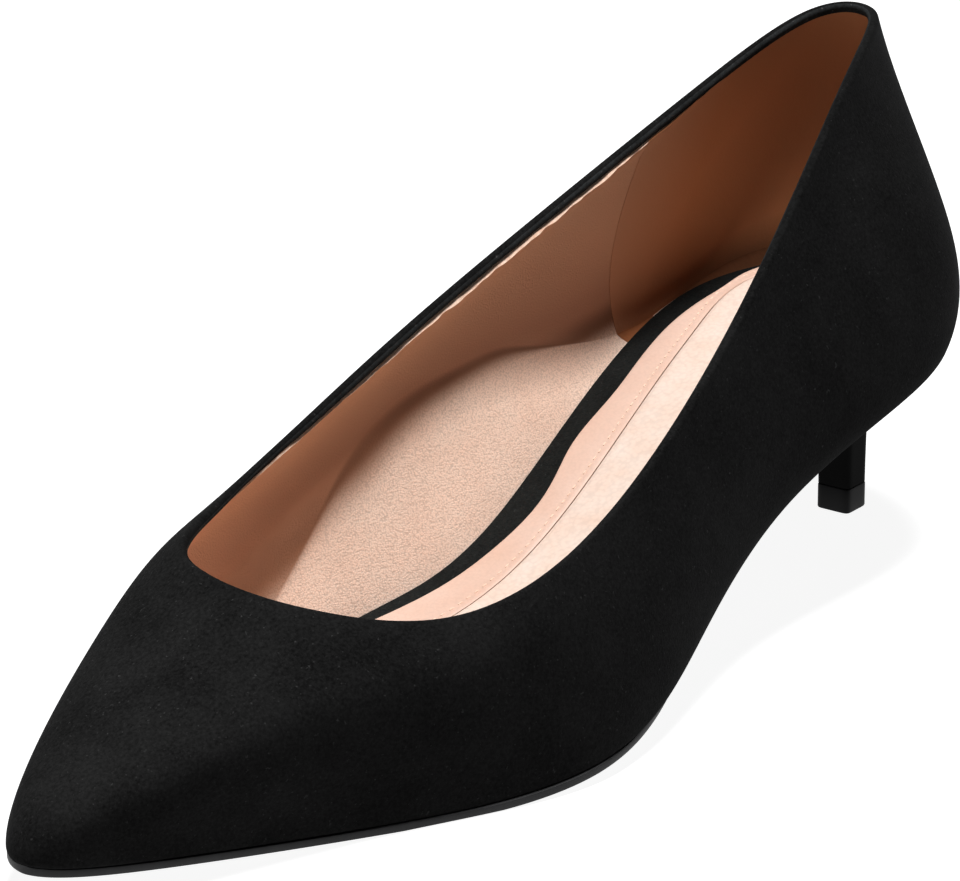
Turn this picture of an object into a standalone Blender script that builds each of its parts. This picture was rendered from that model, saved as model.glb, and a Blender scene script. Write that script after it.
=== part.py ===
"""Left kitten-heel pump with a pointed toe, built as the pieces that a maker puts together.

Lengths are in millimetres until a mesh is made, and angles are in degrees. X runs from the back of the heel to the
toe, Y to the wearer's left, which is the outer side of this left shoe, and Z up from the floor.
"""

import math
from collections import namedtuple

import bmesh
import bpy
import numpy as np

MM = 0.001

# Driving dimensions of the last, of a left shoe in a medium width
LAST_LENGTH = 250.0
BALL_WIDTH = 76.0
SEAT_HEIGHT = 47.0
BALL_HEIGHT = 1.6
THROAT_HEIGHT = 39.0
COUNTER_HEIGHT = 101.7

# Thicknesses of the pieces, and the gap left where two of them meet
UPPER_WALL = 1.8
LASTING_MARGIN = 5.0
INSOLE_THICKNESS = 2.0
SOCK_THICKNESS = 2.6
SOCK_EDGE_THICKNESS = 1.5
SOCK_FULL_WIDTH = 30.0
OUTSOLE_THICKNESS = 1.3
OUTSOLE_EDGE_ROUND = 0.3
SEAT_GAP = 0.3
TOE_CURL_ROOM = 1.5
TOE_CURL_START = 85.0

# The heel and its tip
HEEL_BREAST_X = 57.0
HEEL_SEAT_INSET = 1.4
HEEL_TIP_X = 14.8
HEEL_TIP_Y = 2.2
HEEL_TIP_WIDTH = 7.5
HEEL_TIP_DEPTH = 7.0
TOP_LIFT_HEIGHT = 5.2
TOP_LIFT_PROUD = 0.05
TOP_LIFT_EDGE = 0.4

# How finely the curves are cut into faces
RIBS_AROUND = 128
STEPS_UP_WALL = 9
SOLE_STATIONS = 40
SOCK_STRIPS = 6
HEEL_POINTS = 36
HEEL_STEPS = 2
SMOOTH_ANGLE = math.radians(35.0)

# The upper's sections are ribs that rise from the feather line, where upper and sole meet, to the topline. They are
# listed around the shoe, from the back of the heel along the outer side to the toe and back along the inner side.
#   foot_x, top_x   place along the shoe, in per cent of LAST_LENGTH
#   foot_y, top_y   place across the shoe, in per cent of BALL_WIDTH
#   top_z           height of the topline, in per cent of the rise from throat to counter
#   foot_lean       how far the wall leans out where it leaves the feather line, in degrees
#   foot_pull       how far it keeps that direction, in millimetres
#   top_lean        how far the wall leans in where it reaches the topline, in degrees
#   top_pull        how far it holds that direction, in millimetres
#   strip           width of the bare insole between the wall and the sock, in millimetres
#   sole_out        how far the outsole stands out past the feather line, in millimetres
Rib = namedtuple(
    "Rib", "name foot_x foot_y top_x top_y top_z foot_lean foot_pull top_lean top_pull strip sole_out"
)
RIBS = (
    Rib("heel back", 2.0, 4.6, 2.2, 0.7, 100.0, 25, 21.5, 17, 17, 2.0, -2.0),
    Rib("outer heel corner", 5.0, 29.6, 7.2, 12.2, 97.9, 25, 20.5, 14, 18, 2.5, -2.0),
    Rib("outer heel", 14.4, 45.4, 15.8, 21.1, 86.0, 24, 19.5, 12, 15, 3.0, -2.0),
    Rib("outer waist", 32.0, 42.8, 29.6, 31.6, 55.0, 26, 16, 11, 12, 3.5, -2.0),
    Rib("outer arch", 46.8, 48.7, 44.8, 39.7, 22.9, 22, 15, 12, 10, 3.5, -1.6),
    Rib("outer ball", 61.2, 53.7, 59.6, 42.5, 1.6, 8, 14, 35, 10, 3.0, 0.3),
    Rib("outer vamp", 77.2, 30.9, 70.0, 31.6, -7.6, 5, 13, 60, 18, 3.0, 0.3),
    Rib("outer toe", 92.0, 11.2, 76.5, 13.2, -2.9, 5, 12, 66, 28, 3.0, 0.1),
    Rib("toe tip", 100.0, -5.6, 78.2, -3.9, 0.3, 8, 11.5, 64, 34, 3.0, -0.3),
    Rib("inner toe", 95.6, -23.4, 76.4, -26.3, 1.9, 4, 7.5, 57, 22, 3.0, 0.1),
    Rib("inner vamp", 84.8, -32.9, 69.0, -39.5, 2.6, 5, 13, 56, 19, 3.0, 0.3),
    Rib("inner ball", 70.2, -46.1, 59.0, -42.6, 13.5, 14, 14, 40, 12, 4.5, 0.3),
    Rib("inner arch", 50.0, -27.6, 47.2, -37.5, 34.3, 52, 14, 36, 14, 8.0, -1.6),
    Rib("inner waist", 32.0, -28.3, 30.9, -30.8, 58.7, 47, 16.5, 26, 14, 7.5, -2.0),
    Rib("inner heel", 14.4, -35.5, 15.2, -24.4, 80.6, 25, 18, 17, 15, 4.5, -2.0),
    Rib("inner heel corner", 5.4, -21.1, 4.3, -14.7, 97.2, 25, 21, 10, 18, 2.5, -2.0),
)

# The feather line seen from the side: place in per cent of LAST_LENGTH, height in per cent of the drop from the
# heel seat to the ball.
FeatherPoint = namedtuple("FeatherPoint", "name along height")
FEATHER_LINE = (
    FeatherPoint("back of the seat", 0.0, 101.0),
    FeatherPoint("seat", 14.4, 84.0),
    FeatherPoint("waist", 32.0, 58.0),
    FeatherPoint("arch", 48.0, 21.5),
    FeatherPoint("behind the ball", 60.0, 5.0),
    FeatherPoint("ball", 68.8, 0.0),
    FeatherPoint("tread", 80.0, 1.5),
    FeatherPoint("toe spring", 92.0, 9.0),
    FeatherPoint("toe", 102.0, 16.0),
)

# The heel's outline from tip to seat: share of the height, how far its back, breast, outer and inner sides stand out
# past the tip's own in millimetres, and how square its back and breast corners are, from 2 for an ellipse upwards.
HeelLevel = namedtuple("HeelLevel", "share back breast outer inner back_square breast_square")
HEEL_LEVELS = (
    HeelLevel(0.00, 0.0, 0.0, 0.0, 0.0, 8.0, 8.0),
    HeelLevel(0.20, 0.1, 0.2, 0.1, 0.1, 7.5, 7.5),
    HeelLevel(0.42, 0.4, 0.8, 0.3, 0.3, 6.5, 6.5),
    HeelLevel(0.62, 1.1, 3.2, 1.0, 1.0, 5.0, 5.0),
    HeelLevel(0.76, 2.2, 10.0, 4.4, 4.2, 3.8, 4.2),
    HeelLevel(0.88, 3.6, 24.0, 13.0, 12.0, 3.0, 4.5),
    HeelLevel(0.955, 4.5, 34.0, 21.6, 19.4, 2.7, 5.5),
    HeelLevel(0.985, 4.8, 37.9, 26.4, 23.4, 2.6, 6.6),
    HeelLevel(1.00, 4.9, 38.3, 26.9, 23.9, 2.6, 7.0),
)


def spline_bends(knots, values, period=None):
    """Returns the second derivatives of the cubic spline through the values, natural or, with a period, closed."""
    count = len(knots)
    steps = np.diff(knots if period is None else np.append(knots, knots[0] + period))
    matrix = np.zeros((count, count))
    right = np.zeros_like(values)
    for i in range(count):
        if period is None and i in (0, count - 1):
            matrix[i, i] = 1.0
            continue
        before, after, following = steps[i - 1], steps[i], (i + 1) % count
        matrix[i, i - 1] += before
        matrix[i, i] += 2.0 * (before + after)
        matrix[i, following] += after
        right[i] = 6.0 * ((values[following] - values[i]) / after - (values[i] - values[i - 1]) / before)
    return np.linalg.solve(matrix, right), steps


def spline(knots, values, places, period=None):
    """Returns the values at these places of the cubic spline through the knots."""
    knots, values = np.asarray(knots, float), np.asarray(values, float)
    bends, steps = spline_bends(knots, values, period)
    low = np.clip(np.searchsorted(knots, places, side="right") - 1, 0, len(steps) - 1)
    high = (low + 1) % len(knots)
    shape = (-1,) + (1,) * (values.ndim - 1)
    step = steps[low].reshape(shape)
    past = (places - knots[low]).reshape(shape)
    left = step - past
    return (
        (bends[low] * left**3 + bends[high] * past**3) / (6.0 * step)
        + (values[low] / step - bends[low] * step / 6.0) * left
        + (values[high] / step - bends[high] * step / 6.0) * past
    )


def feather_height(along):
    """Returns the height of the feather line at these places along the shoe."""
    knots = [point.along / 100.0 * LAST_LENGTH for point in FEATHER_LINE]
    drop = SEAT_HEIGHT - BALL_HEIGHT
    heights = [BALL_HEIGHT + point.height / 100.0 * drop for point in FEATHER_LINE]
    return spline(knots, heights, np.asarray(along, float))


def level_over_feather(along, distance):
    """Returns the height of a sheet that lies this far from the feather line, measured square to it."""
    along = np.asarray(along, float)
    slope = feather_height(along + 0.5) - feather_height(along - 0.5)
    return feather_height(along) + distance * np.hypot(1.0, slope)


def ribs_around(count):
    """Returns the rib table read at this many even places around the shoe, as a Rib of arrays."""
    table = np.array([rib[1:] for rib in RIBS], float)
    places = np.arange(count) * len(RIBS) / count
    columns = spline(np.arange(len(RIBS)), table, places, period=len(RIBS))
    return Rib("all", *columns.T)


def feather_plan(ribs):
    """Returns the feather line's points seen from above, and their directions out of the shoe."""
    plan = np.stack([ribs.foot_x / 100.0 * LAST_LENGTH, ribs.foot_y / 100.0 * BALL_WIDTH], axis=1)
    along = np.roll(plan, -1, axis=0) - np.roll(plan, 1, axis=0)
    out = np.stack([-along[:, 1], along[:, 0]], axis=1)
    return plan, out / np.linalg.norm(out, axis=1, keepdims=True)


def raised(plan, height):
    """Returns points of the plan at this height over the feather line."""
    return np.column_stack([plan, feather_height(plan[:, 0]) + height])


def leaning(out, lean):
    """Returns directions that point up and lean out by these angles."""
    turn = np.radians(lean)[:, None]
    return np.column_stack([out * np.sin(turn), np.cos(turn)])


def upper_rows():
    """Returns the rows of points of the upper's outer face, from the turned-in margin up to the topline."""
    ribs = ribs_around(RIBS_AROUND)
    plan, out = feather_plan(ribs)
    foot = raised(plan, 0.0)
    top_height = THROAT_HEIGHT + ribs.top_z / 100.0 * (COUNTER_HEIGHT - THROAT_HEIGHT)
    top = np.stack([ribs.top_x / 100.0 * LAST_LENGTH, ribs.top_y / 100.0 * BALL_WIDTH, top_height], axis=1)
    low_handle = foot + ribs.foot_pull[:, None] * leaning(out, ribs.foot_lean)
    high_handle = top - ribs.top_pull[:, None] * leaning(out, -ribs.top_lean)
    rows = [raised(plan - out * LASTING_MARGIN, 0.0)]
    for share in np.linspace(0.0, 1.0, STEPS_UP_WALL + 1):
        rest = 1.0 - share
        rows.append(
            rest**3 * foot + 3.0 * rest**2 * share * low_handle + 3.0 * rest * share**2 * high_handle + share**3 * top
        )
    return rows


def outline_sides(outset):
    """Returns the outline that stands this far outside the feather line, as its outer and its inner side.

    Each side is two arrays, places along the shoe and places across it, from the heel to the toe.
    """
    dense = 12 * RIBS_AROUND
    ribs = ribs_around(dense)
    plan, out = feather_plan(ribs)
    edge = plan + out * outset(ribs)[:, None]
    back, toe = int(np.argmin(edge[:, 0])), int(np.argmax(edge[:, 0]))
    outer = np.arange(back, back + (toe - back) % dense + 1) % dense
    inner = np.arange(back, back - (back - toe) % dense - 1, -1) % dense
    return (edge[outer, 0], edge[outer, 1]), (edge[inner, 0], edge[inner, 1])


def stations_between(first, last, blunt_start):
    """Returns places along the shoe that crowd towards its round ends."""
    start = 0.5 * math.pi if blunt_start else 0.0
    turns = np.linspace(start, math.pi, SOLE_STATIONS)
    share = (math.cos(start) - np.cos(turns)) / (math.cos(start) + 1.0)
    return first + (last - first) * share


def wall_clearance(ribs):
    """Returns how far inside the feather line a sheet on the lasting margin meets the wall.

    The wall leans out along the sides, and curls in over the toe, where the sheet keeps more room.
    """
    lean = np.radians(ribs.foot_lean)
    curl = np.clip((ribs.foot_x - TOE_CURL_START) / (100.0 - TOE_CURL_START), 0.0, 1.0)
    return (UPPER_WALL + SEAT_GAP) * (1.0 - np.sin(lean)) / np.cos(lean) + TOE_CURL_ROOM * curl


def new_collection(name):
    """Makes a collection in the scene."""
    collection = bpy.data.collections.new(name)
    bpy.context.scene.collection.children.link(collection)
    return collection


def new_material(name, colour, roughness):
    """Makes a plain material of this linear colour and roughness, with no metal in it."""
    material = bpy.data.materials.new(name)
    material.use_nodes = True
    shader = material.node_tree.nodes["Principled BSDF"]
    shader.inputs["Base Color"].default_value = (*colour, 1.0)
    shader.inputs["Roughness"].default_value = roughness
    shader.inputs["Metallic"].default_value = 0.0
    return material


def loft(name, rows, material, closed_rows, close_column=True):
    """Makes an object of quads between rows of points, each row a closed ring or an open line.

    With close_column the last row also meets the first one.
    """
    rows = np.asarray(rows)
    count, width = rows.shape[:2]
    mesh_build = bmesh.new()
    points = [[mesh_build.verts.new(point * MM) for point in row] for row in rows]
    for i in range(count if close_column else count - 1):
        following = (i + 1) % count
        for j in range(width if closed_rows else width - 1):
            beside = (j + 1) % width
            mesh_build.faces.new((points[i][j], points[i][beside], points[following][beside], points[following][j]))
    return finish_mesh(name, mesh_build, material)


def finish_mesh(name, mesh_build, material):
    """Welds the points that coincide, turns the faces outwards and makes the object."""
    bmesh.ops.remove_doubles(mesh_build, verts=mesh_build.verts, dist=1e-7)
    bmesh.ops.recalc_face_normals(mesh_build, faces=mesh_build.faces)
    mesh = bpy.data.meshes.new(name)
    mesh_build.to_mesh(mesh)
    mesh_build.free()
    mesh.materials.append(material)
    mesh.shade_smooth()
    mesh.set_sharp_from_angle(angle=SMOOTH_ANGLE)
    return bpy.data.objects.new(name, mesh)


def sheet_sections(outset, section, first=None):
    """Returns closed sections of a sheet that lies under or in the shoe, one at each station along it.

    outset gives the outline, and section takes a station's place, inner edge and outer edge and returns the points.
    """
    (outer_x, outer_y), (inner_x, inner_y) = outline_sides(outset)
    start = outer_x[0] if first is None else first
    sections = []
    for place in stations_between(start, outer_x[-1], first is not None):
        inner = np.interp(place, inner_x, inner_y)
        outer = np.interp(place, outer_x, outer_y)
        sections.append(section(place, inner, outer))
    return sections


def make_upper(material):
    """The suede upper: one wall from topline to feather line, with its margin turned in under the foot."""
    upper = loft("upper", upper_rows(), material, closed_rows=True, close_column=False)
    shell = upper.modifiers.new("wall", "SOLIDIFY")
    shell.thickness = UPPER_WALL * MM
    shell.offset = -1.0
    shell.use_even_offset = True
    shell.use_quality_normals = True
    return upper


def make_insole(material):
    """The covered insole, which lies on the lasting margin and shows as a dark strip beside the sock."""
    levels = np.array([UPPER_WALL + SEAT_GAP, UPPER_WALL + SEAT_GAP + INSOLE_THICKNESS])

    def section(place, inner, outer):
        low, high = level_over_feather([place, place], levels)
        return [(place, inner, low), (place, outer, low), (place, outer, high), (place, inner, high)]

    sections = sheet_sections(lambda ribs: -wall_clearance(ribs), section)
    return loft("insole", sections, material, closed_rows=True, close_column=False)


def make_sock(material):
    """The padded sock on the insole, thickest along its middle."""
    underside = UPPER_WALL + INSOLE_THICKNESS + 2.0 * SEAT_GAP

    def section(place, inner, outer):
        base = float(level_over_feather([place], underside)[0])
        shares = np.linspace(0.0, 1.0, SOCK_STRIPS + 1)
        padding = (SOCK_THICKNESS - SOCK_EDGE_THICKNESS) * min(1.0, (outer - inner) / SOCK_FULL_WIDTH)
        crown = SOCK_EDGE_THICKNESS + padding * np.sin(np.pi * shares)
        across = inner + (outer - inner) * shares
        top = [(place, y, base + rise) for y, rise in zip(across[::-1], crown[::-1])]
        return [(place, inner, base), (place, outer, base)] + top

    sections = sheet_sections(lambda ribs: -wall_clearance(ribs) - ribs.strip, section)
    return loft("sock", sections, material, closed_rows=True, close_column=False)


def make_outsole(material):
    """The thin outsole from the heel breast to the toe, flat on the floor under the ball."""

    def section(place, inner, outer):
        top, low = level_over_feather([place, place], np.array([-SEAT_GAP, -SEAT_GAP - OUTSOLE_THICKNESS]))
        bottom = max(0.0, low)
        edge = min(OUTSOLE_EDGE_ROUND, 0.4 * (outer - inner))
        return [
            (place, inner + edge, bottom),
            (place, outer - edge, bottom),
            (place, outer, bottom + OUTSOLE_EDGE_ROUND),
            (place, outer, top),
            (place, inner, top),
            (place, inner, bottom + OUTSOLE_EDGE_ROUND),
        ]

    sections = sheet_sections(lambda ribs: ribs.sole_out, section, first=HEEL_BREAST_X)
    outsole = loft("outsole", sections, material, closed_rows=True, close_column=False)
    close_holes(outsole)
    return outsole


def close_holes(part):
    """Fills the flat open ends of a part."""
    mesh_build = bmesh.new()
    mesh_build.from_mesh(part.data)
    bmesh.ops.holes_fill(mesh_build, edges=mesh_build.edges, sides=0)
    bmesh.ops.recalc_face_normals(mesh_build, faces=mesh_build.faces)
    mesh_build.to_mesh(part.data)
    mesh_build.free()


def squared_ring(back, breast, inner, outer, back_square, breast_square):
    """Returns a ring of plan points, an ellipse squared off at its corners, from its breast round the outer side."""
    turns = 2.0 * math.pi * np.arange(HEEL_POINTS) / HEEL_POINTS
    cosines, sines = np.cos(turns), np.sin(turns)
    power = np.where(cosines > 0.0, breast_square, back_square)
    scale = (np.abs(cosines) ** power + np.abs(sines) ** power) ** (-1.0 / power)
    x = 0.5 * (breast + back) + 0.5 * (breast - back) * cosines * scale
    y = HEEL_TIP_Y + np.where(sines > 0.0, outer, inner) * sines * scale
    return np.column_stack([x, y])


def capped_rings(name, rings, material):
    """Makes a solid from rings stacked upwards, its two ends closed by strips across the ring."""
    part = loft(name, rings, material, closed_rows=True, close_column=False)
    mesh_build = bmesh.new()
    mesh_build.from_mesh(part.data)
    mesh_build.verts.ensure_lookup_table()
    half = HEEL_POINTS // 2
    for first in (0, HEEL_POINTS * (len(rings) - 1)):
        ring = [mesh_build.verts[first + i] for i in range(HEEL_POINTS)]
        for i in range(half):
            corners = [ring[i], ring[i + 1], ring[-i - 1], ring[-i]]
            mesh_build.faces.new(list(dict.fromkeys(corners)))
    bmesh.ops.recalc_face_normals(mesh_build, faces=mesh_build.faces)
    mesh_build.to_mesh(part.data)
    mesh_build.free()
    part.data.set_sharp_from_angle(angle=SMOOTH_ANGLE)
    return part


def make_heel(material):
    """The slim heel, which flares from its tip up to a seat just inside the feather line."""
    foot = TOP_LIFT_HEIGHT + SEAT_GAP
    table = np.array(HEEL_LEVELS, float)
    rows = np.arange(len(table))
    steps = np.linspace(0, len(table) - 1, HEEL_STEPS * (len(table) - 1) + 1)
    back_of_tip = HEEL_TIP_X - 0.5 * HEEL_TIP_DEPTH
    breast_of_tip = HEEL_TIP_X + 0.5 * HEEL_TIP_DEPTH
    half_width = 0.5 * HEEL_TIP_WIDTH
    (outer_x, outer_y), (inner_x, inner_y) = outline_sides(lambda ribs: 0.0 * ribs.foot_x - HEEL_SEAT_INSET)
    rings = []
    for row in spline(rows, table, steps):
        level = HeelLevel(*row)
        plan = squared_ring(
            back_of_tip - level.back,
            breast_of_tip + level.breast,
            half_width + level.inner,
            half_width + level.outer,
            level.back_square,
            level.breast_square,
        )
        inner_edge = np.interp(plan[:, 0], inner_x, inner_y)
        outer_edge = np.interp(plan[:, 0], outer_x, outer_y)
        plan[:, 1] = np.clip(plan[:, 1], inner_edge, outer_edge)
        seat = level_over_feather(plan[:, 0], -SEAT_GAP)
        rings.append(np.column_stack([plan, foot + level.share * (seat - foot)]))
    return capped_rings("heel", rings, material)


def make_top_lift(material):
    """The block under the heel's tip, a little larger than the tip and eased at its lower edge."""
    half_width = 0.5 * HEEL_TIP_WIDTH + TOP_LIFT_PROUD
    half_depth = 0.5 * HEEL_TIP_DEPTH + TOP_LIFT_PROUD
    rings = []
    for height, eased in ((0.0, TOP_LIFT_EDGE), (TOP_LIFT_EDGE, 0.0), (TOP_LIFT_HEIGHT, 0.0)):
        width, depth = half_width - eased, half_depth - eased
        square = HEEL_LEVELS[0].back_square
        plan = squared_ring(HEEL_TIP_X - depth, HEEL_TIP_X + depth, width, width, square, square)
        rings.append(np.column_stack([plan, np.full(HEEL_POINTS, height)]))
    return capped_rings("top_lift", rings, material)


def centre_on_floor(parts):
    """Hangs the parts on an empty that moves the middle of their box to the origin, on the floor."""
    corners = np.array([vertex.co for part in parts for vertex in part.data.vertices])
    middle = 0.5 * (corners.min(axis=0) + corners.max(axis=0))
    stand = bpy.data.objects.new("stand", None)
    stand.location = (-middle[0], -middle[1], 0.0)
    for part in parts:
        part.parent = stand
    return stand


def main():
    """Clears the scene and makes the shoe."""
    for leftover in list(bpy.data.objects):
        bpy.data.objects.remove(leftover)
    collection = new_collection("kitten_heel_pump")
    suede = new_material("black_suede", (0.006, 0.006, 0.006), 0.95)
    insole_cover = new_material("black_insole_cover", (0.009, 0.010, 0.010), 0.9)
    sock_leather = new_material("nude_sock_leather", (0.80, 0.56, 0.42), 0.6)
    sole_leather = new_material("black_sole", (0.012, 0.012, 0.013), 0.5)
    heel_lacquer = new_material("black_heel_lacquer", (0.005, 0.005, 0.005), 0.2)
    lift_rubber = new_material("black_top_lift", (0.012, 0.012, 0.012), 0.4)
    parts = [
        make_upper(suede),
        make_insole(insole_cover),
        make_sock(sock_leather),
        make_outsole(sole_leather),
        make_heel(heel_lacquer),
        make_top_lift(lift_rubber),
    ]
    collection.objects.link(centre_on_floor(parts))
    for part in parts:
        collection.objects.link(part)


main()
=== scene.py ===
"""Looks of the left kitten-heel pump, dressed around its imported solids.

Lengths are in millimetres on the shoemaker's last, whose X runs from the back of the heel to the toe, whose Y runs to
the wearer's left and whose Z runs up from the floor. The last class turns them into the frame's metres.
"""

import logging
import math
from dataclasses import dataclass
from enum import Enum
from typing import Any, Callable, Dict, List, Optional, Sequence, Tuple, Union

import bmesh
import bpy
import numpy as np
from bpy.types import Material, Node, NodeSocket, NodeTree, Object
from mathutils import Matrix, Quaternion, Vector


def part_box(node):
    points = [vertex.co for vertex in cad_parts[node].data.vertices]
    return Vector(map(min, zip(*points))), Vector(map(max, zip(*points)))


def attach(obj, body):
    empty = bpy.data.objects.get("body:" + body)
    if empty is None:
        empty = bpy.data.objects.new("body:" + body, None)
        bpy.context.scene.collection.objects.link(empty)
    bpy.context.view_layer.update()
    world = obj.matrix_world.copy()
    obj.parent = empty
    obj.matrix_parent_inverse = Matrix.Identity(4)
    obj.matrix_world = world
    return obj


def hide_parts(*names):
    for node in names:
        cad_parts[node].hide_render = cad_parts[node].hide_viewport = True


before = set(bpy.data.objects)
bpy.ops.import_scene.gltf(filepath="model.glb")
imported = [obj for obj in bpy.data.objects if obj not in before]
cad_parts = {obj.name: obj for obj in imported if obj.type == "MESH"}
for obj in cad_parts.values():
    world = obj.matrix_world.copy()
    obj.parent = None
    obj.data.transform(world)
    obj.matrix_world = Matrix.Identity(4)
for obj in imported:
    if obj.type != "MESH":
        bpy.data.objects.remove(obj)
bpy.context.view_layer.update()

LOG = logging.getLogger("pump")
MM = 0.001
BODY = "root"
SMOOTH_ANGLE = math.radians(40.0)
# Where the middle of a rounded edge lies, as a share of its radius from both faces
ROUND = 0.29

Colour = Tuple[float, float, float, float]
Socket = Union[str, int]
Pair = Tuple[float, float]
Triple = Tuple[float, float, float]
Table = Tuple[Pair, ...]

MULTIPLY: Dict[Socket, Any] = {"data_type": "RGBA", "blend_type": "MULTIPLY", 0: 1.0}


class Slot(Enum):
    """The record's material slots."""

    SUEDE = "suede"
    INSOLE_COVER = "insole_cover"
    SOCK_LEATHER = "sock_leather"
    SOLE = "sole"
    HEEL_LACQUER = "heel_lacquer"
    LIFT = "lift"


def linear(code: str) -> Colour:
    """Turns an sRGB hex colour into a linear one.

    Args:
        code: the colour as six hex digits, with or without a leading hash.

    Returns:
        The linear colour, opaque.
    """
    digits = code.lstrip("#")
    channels = []
    for start in (0, 2, 4):
        value = int(digits[start : start + 2], 16) / 255.0
        channels.append(value / 12.92 if value <= 0.04045 else ((value + 0.055) / 1.055) ** 2.4)
    return (channels[0], channels[1], channels[2], 1.0)


def per_metre(size_mm: float) -> float:
    """Returns the texture scale whose pattern repeats about every size_mm."""
    return 1000.0 / size_mm


def add_node(
    tree: NodeTree,
    kind: str,
    settings: Optional[Dict[Socket, Any]] = None,
    links: Optional[Dict[Socket, NodeSocket]] = None,
    ramp: Optional[Sequence[Tuple[float, Colour]]] = None,
) -> Node:
    """Adds a node with its settings and links.

    Args:
        tree: the tree that takes the node.
        kind: the node's type name, without the ShaderNode before it.
        settings: properties by name, or input values by name or number.
        links: output sockets to join to inputs by name or number.
        ramp: stops of a colour ramp, as places and colours.

    Returns:
        The new node.
    """
    node = tree.nodes.new("ShaderNode" + kind)
    for key, value in (settings or {}).items():
        if isinstance(key, str) and hasattr(node, key):
            setattr(node, key, value)
        else:
            node.inputs[key].default_value = value
    if ramp:
        stops = node.color_ramp.elements
        while len(stops) < len(ramp):
            stops.new(0.5)
        for stop, (place, colour) in zip(stops, ramp):
            stop.position = place
            stop.color = colour
    for key, source in (links or {}).items():
        tree.links.new(source, node.inputs[key])
    return node


def grey(value: float) -> Colour:
    """Returns a linear grey for a ramp that makes numbers."""
    return (value, value, value, 1.0)


@dataclass(frozen=True)
class Finish:
    """A finish of one real material, built as a node material.

    The subclasses colour the base and give it its relief.
    """

    name: str = "finish"

    def start(self) -> Tuple[Material, NodeTree, Node, NodeSocket]:
        """Makes an empty material.

        Returns:
            The material, its tree, its shader and the object coordinates.
        """
        material = bpy.data.materials.new(self.name)
        material.use_nodes = True
        tree = material.node_tree
        tree.nodes.clear()
        shader = add_node(tree, "BsdfPrincipled")
        add_node(tree, "OutputMaterial", links={"Surface": shader.outputs["BSDF"]})
        place = add_node(tree, "TexCoord").outputs["Object"]
        return material, tree, shader, place

    def material(self) -> Material:
        """Returns the finish as a material."""
        raise NotImplementedError


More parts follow.
